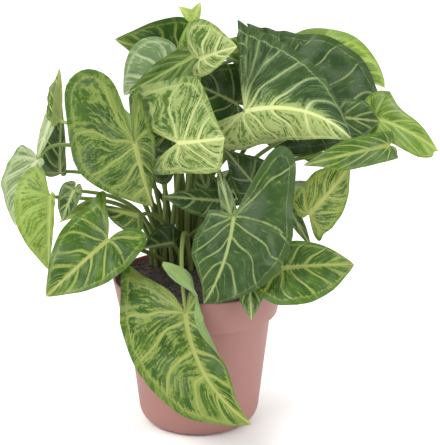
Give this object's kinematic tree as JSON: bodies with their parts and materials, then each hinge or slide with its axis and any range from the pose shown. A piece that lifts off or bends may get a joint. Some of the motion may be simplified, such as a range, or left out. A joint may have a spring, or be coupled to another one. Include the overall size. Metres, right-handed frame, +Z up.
{
  "type": "potted plant",
  "caption": "Syngonium (arrowhead vine) with variegated, veined arrow-shaped leaves, growing in a round terracotta pink plastic nursery pot.",
  "frame": {"origin": "centre of the flat underside of the pot, on the surface it stands on", "axes": "+Z up, plant's pictured front towards -Y, +X to the viewer's right"},
  "size_m": [0.2974, 0.1966, 0.3041],
  "materials": {
    "terracotta_plastic": "matte, terracotta pink",
    "potting_soil": "rough crumbly bark and peat mix, dark",
    "dark_leaf": "satin, thin pale veins on dark green",
    "green_leaf": "satin, pale green veins",
    "bright_leaf": "satin, yellow-green",
    "young_leaf": "soft satin, cream and green variegation",
    "sheeny_leaf": "silky, greyish green"
  },
  "bodies": {
    "root": {"pot": "terracotta_plastic", "soil": "potting_soil", "leaf_front_hang": "green_leaf", "leaf_front_dark": "dark_leaf", "leaf_centre_young": "young_leaf", "leaf_right_big": "young_leaf", "leaf_right_dark": "dark_leaf", "leaf_right_top": "bright_leaf", "leaf_right_far": "bright_leaf", "leaf_right_fold": "dark_leaf", "leaf_right_mid": "green_leaf", "leaf_right_hang": "green_leaf", "leaf_right_low": "green_leaf", "leaf_right_sliver": "dark_leaf", "leaf_rim_tip": "dark_leaf", "leaf_left_low": "green_leaf", "leaf_left_big": "green_leaf", "leaf_left_bright": "bright_leaf", "leaf_left_sheen": "sheeny_leaf", "leaf_left_dark": "dark_leaf", "leaf_left_pale": "dark_leaf", "leaf_left_small": "dark_leaf", "leaf_left_light": "bright_leaf", "leaf_left_inner": "green_leaf", "leaf_soil_dark": "dark_leaf", "leaf_mid_dark": "dark_leaf", "leaf_mid_vein": "dark_leaf", "leaf_mid_right": "dark_leaf", "leaf_right_inner": "bright_leaf", "leaf_top_left": "green_leaf", "leaf_top_sheen": "sheeny_leaf", "leaf_top_band": "bright_leaf", "leaf_top_pale": "young_leaf", "leaf_top_dark": "dark_leaf", "leaf_shoot": "bright_leaf", "leaf_small_green": "bright_leaf", "leaf_back_mid": "dark_leaf", "leaf_back_low": "dark_leaf", "leaf_back_a": "green_leaf", "leaf_back_b": "green_leaf", "leaf_back_c": "green_leaf", "leaf_back_d": "dark_leaf", "leaf_back_e": "green_leaf", "leaf_back_f": "green_leaf", "leaf_back_g": "green_leaf"}
  },
  "joints": []
}
